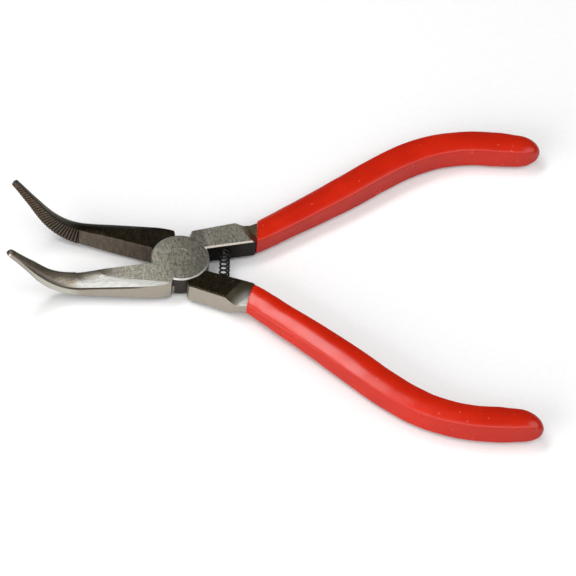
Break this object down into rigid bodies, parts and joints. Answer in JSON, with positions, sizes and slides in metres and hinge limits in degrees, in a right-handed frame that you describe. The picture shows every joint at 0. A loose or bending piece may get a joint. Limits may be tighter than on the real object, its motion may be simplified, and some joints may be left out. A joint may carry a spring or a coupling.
{
  "type": "needle nose pliers",
  "caption": "Bent-nose needle nose pliers with a lap joint, serrated jaw tips, a coil return spring and red dipped vinyl grips.",
  "frame": {"origin": "on the pivot axis, at the joint's flat underside", "axes": "+X from the pivot towards the handles, along the length; jaws point along -X; +Z is the pivot axis, the way the bent jaw tips rise; the open handles lie either side of the XZ plane"},
  "size_m": [0.1394, 0.101, 0.0192],
  "materials": {
    "forged_steel": "ground and brushed faces, darker forged flanks",
    "rivet_steel": "ground flush with the joint",
    "spring_steel": "black oxide",
    "red_vinyl": "glossy dipped vinyl"
  },
  "bodies": {
    "rear": {"rear_half": "forged_steel", "rear_grip": "red_vinyl", "pivot_rivet": "rivet_steel", "return_spring": "spring_steel"},
    "front": {"front_half": "forged_steel", "front_grip": "red_vinyl"}
  },
  "joints": [
    {"name": "pivot", "type": "hinge", "parent": "rear", "child": "front", "pos_m": [0, 0, 0.003], "axis": [0, 0, 1], "range_deg": [-29, 6], "stiffness_Nm_per_rad": 0.77, "deforming": ["return_spring"]}
  ]
}
